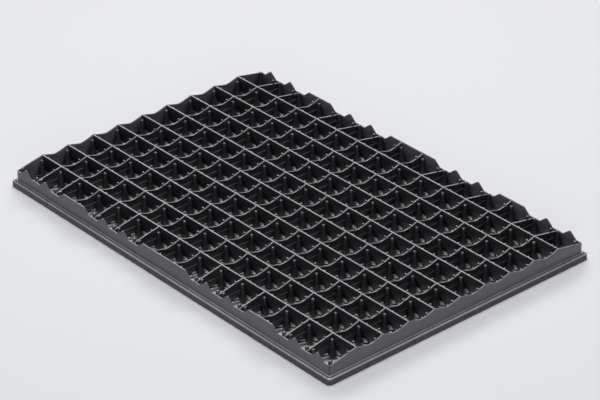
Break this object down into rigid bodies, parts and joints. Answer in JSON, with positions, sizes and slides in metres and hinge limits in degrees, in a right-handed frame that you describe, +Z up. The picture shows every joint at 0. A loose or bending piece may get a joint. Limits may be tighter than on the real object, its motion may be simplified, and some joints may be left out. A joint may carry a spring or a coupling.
{
  "type": "plug tray",
  "caption": "Flat rectangular greenhouse tray of open square cells, with straight dividing walls, two pegs in the corners of each cell, an open floor grid and a stepped rim.",
  "frame": {"origin": "on the ground, under the middle of the tray", "axes": "+X along the long side, +Y along the short side, +Z up"},
  "size_m": [0.5932, 0.3998, 0.0286],
  "materials": {
    "wall": "satin",
    "floor": "satin",
    "skirt": "satin",
    "rim": "satin"
  },
  "bodies": {
    "root": {"cross_wall_01": "wall", "cross_wall_02": "wall", "cross_wall_03": "wall", "cross_wall_04": "wall", "cross_wall_05": "wall", "cross_wall_06": "wall", "cross_wall_07": "wall", "cross_wall_08": "wall", "cross_wall_09": "wall", "cross_wall_10": "wall", "cross_wall_11": "wall", "cross_wall_12": "wall", "cross_wall_13": "wall", "cross_wall_14": "wall", "long_wall_01": "wall", "long_wall_02": "wall", "long_wall_03": "wall", "long_wall_04": "wall", "long_wall_05": "wall", "long_wall_06": "wall", "long_wall_07": "wall", "long_wall_08": "wall", "long_wall_09": "wall", "floor_bar_long_01": "floor", "floor_bar_long_02": "floor", "floor_bar_long_03": "floor", "floor_bar_long_04": "floor", "floor_bar_long_05": "floor", "floor_bar_long_06": "floor", "floor_bar_long_07": "floor", "floor_bar_long_08": "floor", "floor_bar_long_09": "floor", "floor_bar_cross_01": "floor", "floor_bar_cross_02": "floor", "floor_bar_cross_03": "floor", "floor_bar_cross_04": "floor", "floor_bar_cross_05": "floor", "floor_bar_cross_06": "floor", "floor_bar_cross_07": "floor", "floor_bar_cross_08": "floor", "floor_bar_cross_09": "floor", "floor_bar_cross_10": "floor", "floor_bar_cross_11": "floor", "floor_bar_cross_12": "floor", "floor_bar_cross_13": "floor", "floor_bar_cross_14": "floor", "front_skirt": "skirt", "rear_skirt": "skirt", "left_skirt": "skirt", "right_skirt": "skirt", "front_rim": "rim", "rear_rim": "rim", "left_rim": "rim", "right_rim": "rim"}
  },
  "joints": []
}
